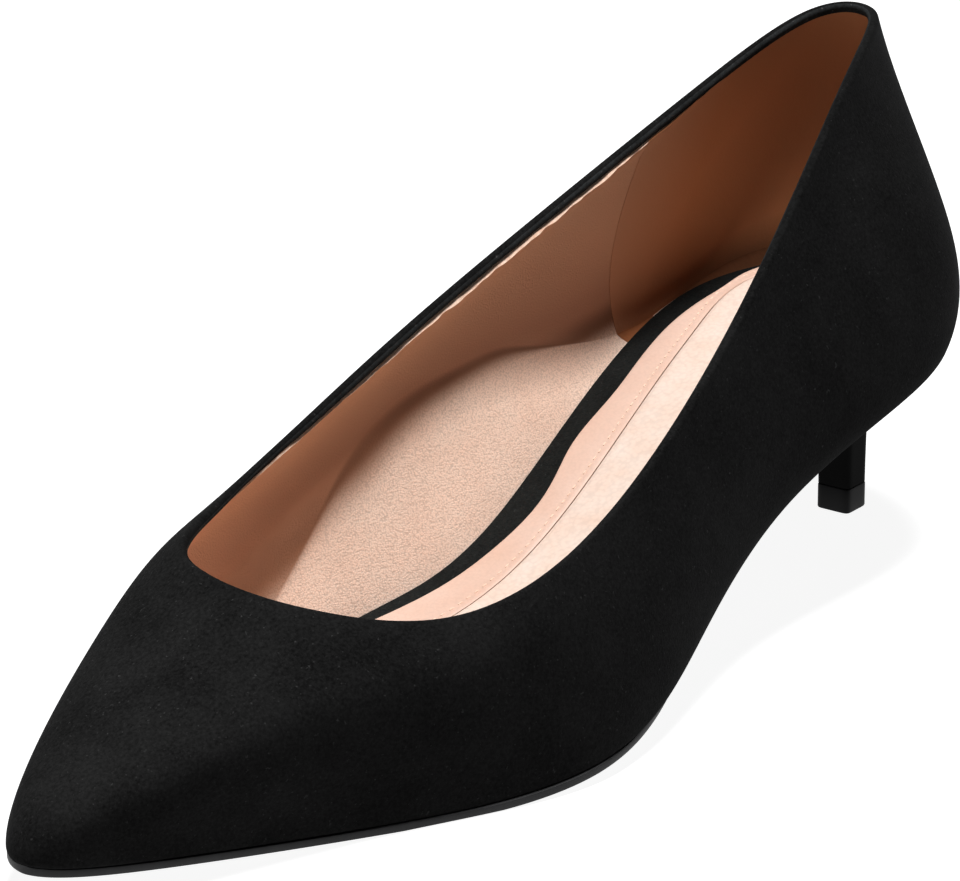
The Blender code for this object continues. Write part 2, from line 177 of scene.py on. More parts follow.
@dataclass(frozen=True)
class Suede(Finish):
    """Buffed black suede: a short nap that drinks light, a soft pale bloom at grazing angles and tiny fibre ends.

    Its tones are painted light and shade: lighter where the face looks up and a little towards the inner side and
    the toe, darker where it turns away, and darker at the heel than at the toe.
    """

    name: str = "buffed_black_suede"
    deep: str = "161616"
    bloom: str = "2f2f2f"
    tone_stops: Pair = (0.36, 0.64)
    fibre: str = "434343"
    fibre_stops: Pair = (0.67, 0.76)
    # Painted light and shade: tones by how far the face looks towards the light, and from heel to toe
    painted_light_from: Triple = (0.2, -0.35, 0.92)
    painted_light_tones: Table = ((0.0, 0.56), (0.3, 0.7), (0.6, 0.83), (0.85, 1.0), (1.0, 1.1))
    heel_painted_shade: float = 0.86
    toe_painted_light: float = 1.06
    painted_tones_mm: Pair = (-120.0, 120.0)
    patch_mm: float = 14.0
    # Suede fibres are under 0.1 mm across. They are drawn coarse, so that a picture of the whole shoe shows them.
    mottle_mm: float = 0.65
    mottle_share: float = 0.66
    nap_mm: float = 0.45
    fibre_mm: float = 0.7
    relief_mm: float = 0.12
    relief_strength: float = 0.7
    sheen: float = 0.03

    def material(self) -> Material:
        """Returns the suede: patches, mottle, sparse pale fibre ends, painted light and shade and a nap in relief."""
        material, tree, shader, place = self.start()
        patch, mottle, fibres, nap = (
            add_node(
                tree,
                "TexNoise",
                {"Scale": per_metre(size_mm), "Detail": detail, "Roughness": roughness},
                {"Vector": place},
            ).outputs["Fac"]
            for size_mm, detail, roughness in (
                (self.patch_mm, 3.0, 0.6),
                (self.mottle_mm, 4.0, 0.7),
                (self.fibre_mm, 2.0, 0.5),
                (self.nap_mm, 3.0, 0.6),
            )
        )
        blend = add_node(tree, "Mix", {"data_type": "FLOAT", 0: self.mottle_share}, {2: patch, 3: mottle})
        tone = add_node(
            tree,
            "ValToRGB",
            links={"Fac": blend.outputs[0]},
            ramp=list(zip(self.tone_stops, (linear(self.deep), linear(self.bloom)))),
        )
        ends = add_node(
            tree, "ValToRGB", links={"Fac": fibres}, ramp=list(zip(self.fibre_stops, (grey(0.0), grey(1.0))))
        )
        colour = add_node(
            tree,
            "Mix",
            {"data_type": "RGBA", 7: linear(self.fibre)},
            {0: ends.outputs["Color"], 6: tone.outputs["Color"]},
        )
        # Painted light and shade: lighter where the face looks towards the light, darker where it turns away and at
        # the heel
        facing_light = add_node(
            tree,
            "VectorMath",
            {"operation": "DOT_PRODUCT", 1: self.painted_light_from},
            {0: add_node(tree, "NewGeometry").outputs["Normal"]},
        )
        painted_by_facing = add_node(
            tree,
            "ValToRGB",
            links={"Fac": facing_light.outputs["Value"]},
            ramp=[(share, grey(value)) for share, value in self.painted_light_tones],
        )
        painted_along = add_node(
            tree,
            "MapRange",
            {
                "From Min": self.painted_tones_mm[0] * MM,
                "From Max": self.painted_tones_mm[1] * MM,
                "To Min": self.heel_painted_shade,
                "To Max": self.toe_painted_light,
            },
            {"Value": add_node(tree, "SeparateXYZ", links={0: place}).outputs["X"]},
        )
        painted_light_and_shade = add_node(
            tree, "Math", {"operation": "MULTIPLY"}, {0: painted_by_facing.outputs["Color"], 1: painted_along.outputs["Result"]}
        )
        colour = add_node(tree, "Mix", MULTIPLY, {6: colour.outputs[2], 7: painted_light_and_shade.outputs["Value"]})
        relief = add_node(
            tree, "Bump", {"Strength": self.relief_strength, "Distance": self.relief_mm * MM}, {"Height": nap}
        )
        shader.inputs["Roughness"].default_value = 0.95
        shader.inputs["IOR"].default_value = 1.45
        shader.inputs["Specular IOR Level"].default_value = 0.1
        shader.inputs["Sheen Weight"].default_value = self.sheen
        shader.inputs["Sheen Roughness"].default_value = 0.45
        shader.inputs["Sheen Tint"].default_value = linear("c8c8cc")
        tree.links.new(colour.outputs[2], shader.inputs["Base Color"])
        tree.links.new(relief.outputs["Normal"], shader.inputs["Normal"])
        return material


@dataclass(frozen=True)
class PaintedFootShade:
    """Painted shade, deepening to a line through two places along and above the shoe, in mm of the frame."""

    line: Tuple[Pair, Pair]
    shade: float
    rise_mm: float


@dataclass(frozen=True)
class Leather(Finish):
    """Dyed leather: a pebbled grain of shallow cells, uneven dye and a low, soft gloss.

    A leather with an upright tone has painted light and shade by how it faces: it keeps that tone where it stands up,
    and takes its base where it slopes under the foot. It can have painted tones of its own where it overhangs, where
    it begins to turn under the foot and towards its front edge, and painted shade towards its back and its foot.
    The places where tones change are heights of the normal, from 1 upwards to -1 downwards, or millimetres of the
    frame.
    """

    name: str = "dyed_leather"
    base: str = "dda98a"
    shade: str = "cf9878"
    # Painted light and shade: the tones below follow how the face looks towards the light, the place along the shoe
    # and the foot
    upright: str = ""
    slope: Pair = (0.05, 0.4)
    overhang_painted_light: str = ""
    overhang_painted_light_at: float = -0.25
    turn: str = ""
    turn_from: float = 0.05
    front: str = ""
    front_mm: Pair = (-96.0, -71.5)
    back_painted_shade: float = 1.0
    front_painted_light: float = 1.0
    painted_tones_mm: Pair = (-50.0, 80.0)
    painted_foot_shades: Tuple[PaintedFootShade, ...] = ()
    cloud_mm: float = 18.0
    cloud_stops: Pair = (0.3, 0.7)
    grain_mm: float = 0.8
    grain_stops: Pair = (0.35, 0.75)
    grain_shade: float = 0.25
    grain_relief_mm: float = 0.08
    grain_strength: float = 0.5
    roughness: float = 0.55
    specular: float = 0.35

    def material(self) -> Material:
        """Returns the leather: clouded dye, darker between the pebbles, and the pebbles in relief."""
        material, tree, shader, place = self.start()
        cloud = add_node(
            tree, "TexNoise", {"Scale": per_metre(self.cloud_mm), "Detail": 4.0, "Roughness": 0.6}, {"Vector": place}
        )
        warp = add_node(tree, "TexNoise", {"Scale": per_metre(self.grain_mm * 1.6), "Detail": 2.0}, {"Vector": place})
        bent = add_node(
            tree,
            "VectorMath",
            {"operation": "MULTIPLY_ADD", 1: (self.grain_mm * MM,) * 3},
            {0: warp.outputs["Color"], 2: place},
        )
        pebble = add_node(
            tree,
            "TexVoronoi",
            {"feature": "SMOOTH_F1", "Scale": per_metre(self.grain_mm), "Smoothness": 0.4},
            {"Vector": bent.outputs["Vector"]},
        ).outputs["Distance"]
        tone = add_node(
            tree,
            "ValToRGB",
            links={"Fac": cloud.outputs["Fac"]},
            ramp=list(zip(self.cloud_stops, (linear(self.shade), linear(self.base)))),
        )
        valley = add_node(
            tree,
            "ValToRGB",
            links={"Fac": pebble},
            ramp=list(zip(self.grain_stops, (grey(1.0), grey(1.0 - self.grain_shade * self.grain_strength)))),
        )
        colour = add_node(tree, "Mix", MULTIPLY, {6: tone.outputs["Color"], 7: valley.outputs["Color"]}).outputs[2]
        if self.upright:
            colour = self.painted_light_by_facing(tree, place, colour)
        # Painted shade that deepens towards the foot
        for foot in self.painted_foot_shades:
            colour = self.painted_shade_at_foot(tree, place, colour, foot)
        height = add_node(tree, "Math", {"operation": "SUBTRACT", 0: 1.0}, {1: pebble})
        relief = add_node(
            tree,
            "Bump",
            {"Strength": self.grain_strength, "Distance": self.grain_relief_mm * MM},
            {"Height": height.outputs["Value"]},
        )
        shader.inputs["Roughness"].default_value = self.roughness
        shader.inputs["IOR"].default_value = 1.5
        shader.inputs["Specular IOR Level"].default_value = self.specular
        tree.links.new(colour, shader.inputs["Base Color"])
        tree.links.new(relief.outputs["Normal"], shader.inputs["Normal"])
        return material

    def painted_light_by_facing(self, tree: NodeTree, place: NodeSocket, pale: NodeSocket) -> NodeSocket:
        """Paints light and shade by facing: the upright tones where the face stands up, scaled from back to front.

        Args:
            tree: the material's tree.
            place: the object coordinates.
            pale: the colour of the slopes.

        Returns:
            The colour of the slopes and of what stands up.
        """
        normal = add_node(tree, "NewGeometry").outputs["Normal"]
        facing = add_node(tree, "SeparateXYZ", links={0: normal}).outputs["Z"]
        along = add_node(tree, "SeparateXYZ", links={0: place}).outputs["X"]
        smooth = {"interpolation_type": "SMOOTHSTEP"}
        front = {"From Min": self.front_mm[0] * MM, "From Max": self.front_mm[1] * MM}
        colour = add_node(tree, "RGB")
        colour.outputs["Color"].default_value = linear(self.upright)
        colour = colour.outputs["Color"]
        # Painted light where the face overhangs, painted shade where it begins to turn under the foot, and a lighter
        # tone towards the front edge
        for tone, source, span in (
            (self.overhang_painted_light, facing, {"From Min": 0.0, "From Max": self.overhang_painted_light_at}),
            (self.turn, facing, {"From Min": self.turn_from, "From Max": self.slope[0], **smooth}),
            (self.front, along, front),
        ):
            if tone:
                share = add_node(tree, "MapRange", span, {"Value": source})
                links = {0: share.outputs["Result"], 6: colour}
                colour = add_node(tree, "Mix", {"data_type": "RGBA", 7: linear(tone)}, links).outputs[2]
        painted_along = add_node(
            tree,
            "MapRange",
            {
                "From Min": self.painted_tones_mm[0] * MM,
                "From Max": self.painted_tones_mm[1] * MM,
                "To Min": self.back_painted_shade,
                "To Max": self.front_painted_light,
            },
            {"Value": along},
        )
        upright = add_node(tree, "Mix", MULTIPLY, {6: colour, 7: painted_along.outputs["Result"]})
        share = add_node(
            tree, "MapRange", {"From Min": self.slope[0], "From Max": self.slope[1], **smooth}, {"Value": facing}
        )
        return add_node(
            tree, "Mix", {"data_type": "RGBA"}, {0: share.outputs["Result"], 6: upright.outputs[2], 7: pale}
        ).outputs[2]

    def painted_shade_at_foot(self, tree: NodeTree, place: NodeSocket, colour: NodeSocket, foot: PaintedFootShade) -> NodeSocket:
        """Paints shade that deepens towards the corner with the footbed.

        Args:
            tree: the material's tree.
            place: the object coordinates.
            colour: the dye's colour.
            foot: where the painted shade deepens and how far.

        Returns:
            The colour with its painted shade.
        """
        (first_x, first_z), (last_x, last_z) = foot.line
        slope = (last_z - first_z) / (last_x - first_x)
        start = (first_z - slope * first_x) * MM
        height = add_node(tree, "VectorMath", {"operation": "DOT_PRODUCT", 1: (-slope, 0.0, 1.0)}, {0: place})
        share = add_node(
            tree,
            "MapRange",
            {"From Min": start, "From Max": start + foot.rise_mm * MM, "To Min": foot.shade},
            {"Value": height.outputs["Value"]},
        )
        return add_node(tree, "Mix", MULTIPLY, {6: colour, 7: share.outputs["Result"]}).outputs[2]


@dataclass(frozen=True)
class Moulded(Finish):
    """Moulded or lacquered black plastic and rubber: even colour, fine scuffs in the gloss and a faint ripple."""

    name: str = "moulded_plastic"
    base: str = "141415"
    worn: str = "1c1c1d"
    wear_mm: float = 3.0
    wear_stops: Pair = (0.4, 0.75)
    roughness: Pair = (0.3, 0.45)
    ripple_mm: float = 2.5
    ripple_depth_mm: float = 0.02
    ripple_strength: float = 0.3
    specular: float = 0.5

    def material(self) -> Material:
        """Returns the plastic: a worn blend in colour and gloss over a faint ripple."""
        material, tree, shader, place = self.start()
        wear = add_node(
            tree, "TexNoise", {"Scale": per_metre(self.wear_mm), "Detail": 5.0, "Roughness": 0.65}, {"Vector": place}
        )
        tone = add_node(
            tree,
            "ValToRGB",
            links={"Fac": wear.outputs["Fac"]},
            ramp=list(zip(self.wear_stops, (linear(self.base), linear(self.worn)))),
        )
        gloss = add_node(
            tree,
            "MapRange",
            {"To Min": self.roughness[0], "To Max": self.roughness[1]},
            {"Value": wear.outputs["Fac"]},
        )
        ripple = add_node(tree, "TexNoise", {"Scale": per_metre(self.ripple_mm), "Detail": 2.0}, {"Vector": place})
        relief = add_node(
            tree,
            "Bump",
            {"Strength": self.ripple_strength, "Distance": self.ripple_depth_mm * MM},
            {"Height": ripple.outputs["Fac"]},
        )
        shader.inputs["IOR"].default_value = 1.5
        shader.inputs["Specular IOR Level"].default_value = self.specular
        tree.links.new(tone.outputs["Color"], shader.inputs["Base Color"])
        tree.links.new(gloss.outputs["Result"], shader.inputs["Roughness"])
        tree.links.new(relief.outputs["Normal"], shader.inputs["Normal"])
        return material


@dataclass(frozen=True)
class LightTable(Finish):
    """The studio's light table: a matt white sheet lit from below, so that shadows on it stay pale."""

    name: str = "light_table_acrylic"
    base: str = "828282"
    glow: float = 0.93

    def material(self) -> Material:
        """Returns the plain matt sheet with its even glow."""
        material, _tree, shader, _place = self.start()
        shader.inputs["Base Color"].default_value = linear(self.base)
        shader.inputs["Roughness"].default_value = 0.95
        shader.inputs["Specular IOR Level"].default_value = 0.1
        shader.inputs["Emission Color"].default_value = grey(1.0)
        shader.inputs["Emission Strength"].default_value = self.glow
        return material


# Deep matt black, lifted to charcoal by painted light where it faces the light,
# and darkened by painted shade where it turns away and at the heel
SUEDE = Suede()
# The same suede along the rim, painted a shade greyer and lighter where it faces up, as painted sheen on the rolled
# top, which draws a soft line by the lining
RIM_PAINTED_SHEEN_SUEDE = Suede(
    name="black_rim_suede_painted_sheen",
    deep="252626",
    bloom="3e4041",
    fibre="5a5a5a",
    painted_light_tones=((0.0, 1.0), (1.0, 1.15)),
    heel_painted_shade=1.0,
    toe_painted_light=1.0,
)
# A flat black strip that parts the lining from the sock, with painted shade at the heel and painted light at the toe
INSOLE_SUEDE = Suede(
    name="black_insole_suede",
    deep="1b1c1c",
    bloom="2d2f2e",
    fibre="3b3d3c",
    painted_light_tones=((0.0, 1.08), (1.0, 1.08)),
    heel_painted_shade=0.66,
    toe_painted_light=1.46,
    sheen=0.02,
)
# Warm grained lining, pale pink-beige where it slopes under the foot; its brown where it stands up is painted shade,
# its lighter overhang painted bounce light, its darker turn painted shade, and it is painted darker at the back
LINING = Leather(
    name="tan_pigskin_lining",
    base="fae4d4",
    shade="f6dac8",
    upright="d6a688",
    slope=(0.2, 0.36),
    overhang_painted_light="e7b693",
    turn="a67c62",
    back_painted_shade=0.84,
    front_painted_light=1.2,
    grain_mm=0.36,
    grain_strength=0.8,
    roughness=0.5,
    specular=0.5,
)
# Back lining of the lining's tan, darker as painted shade in the hollow of the heel: lighter at its front edge, it
# sinks to deep brown painted shade on its slopes, towards the back and towards its foot
HEEL_LINING = Leather(
    name="tan_back_lining",
    base="a5714e",
    shade="9a6744",
    upright="ca926a",
    slope=(0.1, 0.5),
    front="cfa487",
    painted_foot_shades=(
        PaintedFootShade(line=((-120.0, 58.5), (-70.0, -20.0)), shade=0.64, rise_mm=46.0),
        PaintedFootShade(line=((-120.0, 53.5), (-70.0, 29.0)), shade=0.4, rise_mm=7.0),
    ),
    grain_mm=0.6,
    grain_strength=0.25,
    roughness=0.75,
    specular=0.1,
)
# The cut edge of the lining, a pale broken line below the topline
LINING_EDGE = Leather(
    name="raw_lining_edge", base="f3dccb", shade="dcb9a2", cloud_mm=1.5, grain_mm=0.5, roughness=0.9
)
# The sock's border, smooth and evenly nude with a faint gloss
SOCK_KID = Leather(
    name="nude_kid_sock", base="d8c1b4", shade="d4b8a8", grain_mm=0.6, grain_strength=0.15, roughness=0.5
)
# The sock's middle, paler and chalky
SOCK_NUBUCK = Leather(
    name="pale_nubuck_pad",
    base="dfd2c8",
    shade="ddcabd",
    cloud_mm=6.0,
    grain_mm=0.9,
    grain_strength=0.3,
    roughness=0.8,
)
# Thread a touch paler than the kid around it, partly its own colour and partly painted highlight,
# so that each stitch shows as a light dot
THREAD = Leather(name="nude_polyester_thread", base="f6dfcf", shade="e9ccb8", cloud_mm=2.0, grain_mm=0.25)
# A satin charcoal edge that shows as a thin grey line under the suede
SOLE_RUBBER = Moulded(name="black_sole_resin", base="333334", worn="3c3c3d", roughness=(0.4, 0.55), specular=0.3)
# Smooth black with a tight, dim reflection
HEEL_LACQUER = Moulded(name="black_heel_lacquer", base="181818", worn="1a1a1a", roughness=(0.1, 0.18), specular=0.015)
# A duller black block under the lacquer
LIFT_RUBBER = Moulded(
    name="black_top_lift_urethane", base="0d0d0e", worn="131314", roughness=(0.35, 0.5), specular=0.2
)


def spline_bends(knots: np.ndarray, values: np.ndarray, period: Optional[float]) -> Tuple[np.ndarray, np.ndarray]:
    """Finds the bends of the cubic spline through some values.

    Args:
        knots: the places of the values.
        values: the values, one row for each knot.
        period: the length of a closed spline, or None for a natural one.

    Returns:
        The second derivatives at the knots, and the steps between knots.
    """
    count = len(knots)
    steps = np.diff(knots if period is None else np.append(knots, knots[0] + period))
    matrix = np.zeros((count, count))
    right = np.zeros_like(values)
    for i in range(count):
        if period is None and i in (0, count - 1):
            matrix[i, i] = 1.0
            continue
        before, after, following = steps[i - 1], steps[i], (i + 1) % count
        matrix[i, i - 1] += before
        matrix[i, i] += 2.0 * (before + after)
        matrix[i, following] += after
        right[i] = 6.0 * ((values[following] - values[i]) / after - (values[i] - values[i - 1]) / before)
    return np.linalg.solve(matrix, right), steps


def spline(
    knots: Sequence[float], values: Sequence[Any], places: np.ndarray, period: Optional[float] = None
) -> np.ndarray:
    """Reads the cubic spline through some knots.

    Args:
        knots: the places of the values.
        values: the values at the knots.
        places: where the spline is read.
        period: the length of a closed spline, or None for a natural one.

    Returns:
        The values at the places.
    """
    at, rows = np.asarray(knots, float), np.asarray(values, float)
    bends, steps = spline_bends(at, rows, period)
    low = np.clip(np.searchsorted(at, places, side="right") - 1, 0, len(steps) - 1)
    high = (low + 1) % len(at)
    shape = (-1,) + (1,) * (rows.ndim - 1)
    step = steps[low].reshape(shape)
    past = (places - at[low]).reshape(shape)
    left = step - past
    return (
        (bends[low] * left**3 + bends[high] * past**3) / (6.0 * step)
        + (rows[low] / step - bends[low] * step / 6.0) * left
        + (rows[high] / step - bends[high] * step / 6.0) * past
    )


@dataclass(frozen=True)
class Rib:
    """A section of the upper from the feather line to the topline.

    Places along the shoe are in per cent of its length, places across it in per cent of the ball's width, and the
    topline's height in per cent of the rise from throat to counter. Leans are in degrees and the rest in millimetres.
    """

    name: str
    foot_x: float
    foot_y: float
    top_x: float
    top_y: float
    top_z: float
    foot_lean: float
    foot_pull: float
    top_lean: float
    top_pull: float
    sole_out: float

    def numbers(self) -> List[float]:
        """Returns the rib's sizes in the order of its fields."""
        return list(vars(self).values())[1:]


@dataclass(frozen=True)
class RibRing:
    """The ribs read at even places around the shoe, with one array for each size."""

    foot_x: np.ndarray
    foot_y: np.ndarray
    top_x: np.ndarray
    top_y: np.ndarray
    top_z: np.ndarray
    foot_lean: np.ndarray
    foot_pull: np.ndarray
    top_lean: np.ndarray
    top_pull: np.ndarray
    sole_out: np.ndarray


@dataclass(frozen=True)
class Last:
    """The form that every piece is built on: the solids' sizes, with the throat a millimetre higher than theirs."""

    length: float = 250.0
    ball_width: float = 76.0
    seat_height: float = 47.0
    ball_height: float = 1.6
    throat_height: float = 39.0
    counter_height: float = 101.7
    heel_tip_x: float = 14.8
    heel_tip_y: float = 2.2
    wall: float = 1.8
    gap: float = 0.3
    ribs: Tuple[Rib, ...] = (
        Rib("heel back", 2.0, 4.6, 2.2, 0.7, 100.0, 25, 21.5, 17, 17, -2.0),
        Rib("outer heel corner", 5.0, 29.6, 7.2, 12.2, 97.9, 25, 20.5, 14, 18, -2.0),
        Rib("outer heel", 14.4, 45.4, 15.8, 21.1, 86.0, 24, 19.5, 12, 15, -2.0),
        Rib("outer waist", 32.0, 42.8, 29.6, 31.6, 55.0, 26, 16, 11, 12, -2.0),
        Rib("outer arch", 46.8, 48.7, 44.8, 39.7, 22.9, 22, 15, 12, 10, -1.6),
        Rib("outer ball", 61.2, 53.7, 59.6, 42.5, 1.6, 8, 14, 35, 10, 0.3),
        Rib("outer vamp", 77.2, 30.9, 70.0, 31.6, -6.8, 5, 13, 60, 18, 0.3),
        Rib("outer toe", 92.0, 11.2, 76.5, 13.2, -1.5, 5, 12, 66, 28, 0.1),
        Rib("toe tip", 100.0, -5.6, 78.2, -3.9, 1.9, 8, 11.5, 64, 34, -0.3),
        Rib("inner toe", 95.6, -23.4, 76.4, -26.3, 3.5, 4, 7.5, 57, 22, 0.1),
        Rib("inner vamp", 84.8, -32.9, 69.0, -39.5, 4.0, 5, 13, 56, 19, 0.3),
        Rib("inner ball", 70.2, -46.1, 59.0, -42.6, 13.5, 14, 14, 40, 12, 0.3),
        Rib("inner arch", 50.0, -27.6, 47.2, -37.5, 34.3, 52, 14, 36, 14, -1.6),
        Rib("inner waist", 32.0, -28.3, 30.9, -30.8, 58.7, 47, 16.5, 26, 14, -2.0),
        Rib("inner heel", 14.4, -35.5, 15.2, -24.4, 80.6, 25, 18, 17, 15, -2.0),
        Rib("inner heel corner", 5.4, -21.1, 4.3, -14.7, 97.2, 25, 21, 10, 18, -2.0),
    )
    feather_line: Table = (
        (0.0, 101.0), (14.4, 84.0), (32.0, 58.0), (48.0, 21.5), (60.0, 5.0), (68.8, 0.0), (80.0, 1.5), (92.0, 9.0),
        (102.0, 16.0),
    )

    def shift(self) -> np.ndarray:
        """Returns where the last's zero lies in the frame, read from the solid under the heel's tip."""
        low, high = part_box("top_lift")
        middle = 0.5 * (np.array(low) + np.array(high)) / MM
        return np.array([middle[0] - self.heel_tip_x, middle[1] - self.heel_tip_y, 0.0])

    def to_frame(self, points: np.ndarray) -> np.ndarray:
        """Turns points on the last into the frame's metres."""
        return (np.asarray(points, float) + self.shift()) * MM

    def feather(self, along: np.ndarray) -> np.ndarray:
        """Returns the height of the feather line, where upper and sole meet, at these places."""
        knots = [point[0] / 100.0 * self.length for point in self.feather_line]
        drop = self.seat_height - self.ball_height
        heights = [self.ball_height + point[1] / 100.0 * drop for point in self.feather_line]
        return spline(knots, heights, np.asarray(along, float))

    def level(self, along: np.ndarray, distance: Union[float, np.ndarray]) -> np.ndarray:
        """Returns the height of a sheet at this distance from the feather line, measured square to it."""
        places = np.asarray(along, float)
        slope = self.feather(places + 0.5) - self.feather(places - 0.5)
        return self.feather(places) + distance * np.hypot(1.0, slope)

    def ring(self, count: int) -> RibRing:
        """Returns the ribs read at this many even places around the shoe."""
        sizes = [rib.numbers() for rib in self.ribs]
        return RibRing(*spline(np.arange(len(self.ribs)), sizes, self.places(count), period=len(self.ribs)).T)

    def places(self, count: int) -> np.ndarray:
        """Returns this many even places around the shoe, counted in ribs."""
        return np.arange(count) * len(self.ribs) / count

    def read(self, table: Table, count: int) -> np.ndarray:
        """Returns a table of sizes by rib, read at this many even places around the shoe."""
        knots, sizes = zip(*table)
        return spline(knots, sizes, self.places(count), period=len(self.ribs))

    def plan(self, ring: RibRing) -> Tuple[np.ndarray, np.ndarray]:
        """Finds the feather line seen from above.

        Args:
            ring: the ribs around the shoe.

        Returns:
            Its points, and their directions out of the shoe.
        """
        points = np.stack([ring.foot_x / 100.0 * self.length, ring.foot_y / 100.0 * self.ball_width], axis=1)
        along = np.roll(points, -1, axis=0) - np.roll(points, 1, axis=0)
        out = np.stack([-along[:, 1], along[:, 0]], axis=1)
        return points, out / np.linalg.norm(out, axis=1, keepdims=True)

    def raised(self, plan: np.ndarray, distance: Union[float, np.ndarray]) -> np.ndarray:
        """Returns points of the plan on a sheet at this distance from the feather line."""
        return np.column_stack([plan, self.level(plan[:, 0], distance)])

    def wall_points(self, ring: RibRing, shares: np.ndarray, depth: Union[float, np.ndarray]) -> np.ndarray:
        """Places points on the upper's wall.

        Args:
            ring: the ribs around the shoe.
            shares: shares of each rib from foot to top, one row of shares for each row of points.
            depth: how far inside the outer face the points lie, one number or one for each point.

        Returns:
            Points by row and rib.
        """
        plan, out = self.plan(ring)
        rise = self.counter_height - self.throat_height
        foot = self.raised(plan, 0.0)
        top = np.stack(
            [
                ring.top_x / 100.0 * self.length,
                ring.top_y / 100.0 * self.ball_width,
                self.throat_height + ring.top_z / 100.0 * rise,
            ],
            axis=1,
        )
        low_lean, high_lean = np.radians(ring.foot_lean)[:, None], np.radians(ring.top_lean)[:, None]
        low = foot + ring.foot_pull[:, None] * np.column_stack([out * np.sin(low_lean), np.cos(low_lean)])
        high = top - ring.top_pull[:, None] * np.column_stack([-out * np.sin(high_lean), np.cos(high_lean)])
        share = np.asarray(shares, float)[..., None]
        rest = 1.0 - share
        points = rest**3 * foot + 3.0 * rest**2 * share * low + 3.0 * rest * share**2 * high + share**3 * top
        climb = rest**2 * (low - foot) + 2.0 * rest * share * (high - low) + share**2 * (top - high)
        around = np.roll(points, -1, axis=1) - np.roll(points, 1, axis=1)
        facing = np.cross(climb, around)
        facing /= np.linalg.norm(facing, axis=2, keepdims=True)
        facing *= np.sign(np.sum(facing[..., :2] * out, axis=2) + 1e-9 + facing[..., 2])[..., None]
        return points - np.broadcast_to(depth, points.shape[:2])[..., None] * facing


LAST = Last()


def edges_at(plan: np.ndarray, along: np.ndarray) -> Tuple[np.ndarray, np.ndarray]:
    """Reads the two sides of a closed outline.

    Args:
        plan: plan points around the shoe.
        along: places along the shoe.

    Returns:
        The inner and the outer edge at these places.
    """
    count = len(plan)
    back, toe = int(np.argmin(plan[:, 0])), int(np.argmax(plan[:, 0]))
    inner = plan[np.arange(back, back - (back - toe) % count - 1, -1) % count]
    outer = plan[np.arange(back, back + (toe - back) % count + 1) % count]
    return np.interp(along, *inner.T), np.interp(along, *outer.T)


def finish_mesh(build: bmesh.types.BMesh, name: str, materials: Sequence[Material]) -> Object:
    """Turns a mesh in the making into an object of the scene.

    Args:
        build: the mesh, which is freed.
        name: the object's name.
        materials: the materials in the order of the faces' numbers.

    Returns:
        The smooth-shaded object.
    """
    bmesh.ops.remove_doubles(build, verts=build.verts, dist=1e-7)
    bmesh.ops.recalc_face_normals(build, faces=build.faces)
    mesh = bpy.data.meshes.new(name)
    build.to_mesh(mesh)
    build.free()
    for material in materials:
        mesh.materials.append(material)
    mesh.shade_smooth()
    mesh.set_sharp_from_angle(angle=SMOOTH_ANGLE)
    piece = bpy.data.objects.new(name, mesh)
    bpy.context.scene.collection.objects.link(piece)
    return piece


def loft(
    name: str,
    rows: Sequence[np.ndarray],
    materials: Sequence[Material],
    close_rows: bool,
    row_material: Optional[Callable[[int], int]] = None,
) -> Object:
    """Makes an object of faces between closed rings of points.

    Args:
        name: the object's name.
        rows: the rings, on the last.
        materials: the materials of the object.
        close_rows: whether the last ring meets the first, so that the piece is a tube around the shoe. Otherwise the
            two end rings are closed with faces.
        row_material: gives the number of the material of the faces after a ring, or None for the first everywhere.

    Returns:
        The object.
    """
    points = LAST.to_frame(np.asarray(rows))
    count, width = points.shape[:2]
    build = bmesh.new()
    verts = [[build.verts.new(point) for point in row] for row in points]
    for i in range(count if close_rows else count - 1):
        following = verts[(i + 1) % count]
        for j in range(width):
            beside = (j + 1) % width
            face = build.faces.new((verts[i][j], verts[i][beside], following[beside], following[j]))
            face.material_index = row_material(i) if row_material else 0
    if not close_rows:
        bmesh.ops.remove_doubles(build, verts=build.verts, dist=1e-7)
        bmesh.ops.holes_fill(build, edges=[edge for edge in build.edges if edge.is_boundary], sides=0)
    return finish_mesh(build, name, materials)


def dress(piece: Object, node: Optional[str] = None) -> Object:
    """Rides a piece on the shoe and reports it.

    Args:
        piece: the new piece.
        node: the solid that it stands for, if any.

    Returns:
        The piece.
    """
    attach(piece, BODY)
    if node:
        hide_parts(node)
    LOG.info("%s: %d faces", piece.name, len(piece.data.polygons))
    return piece


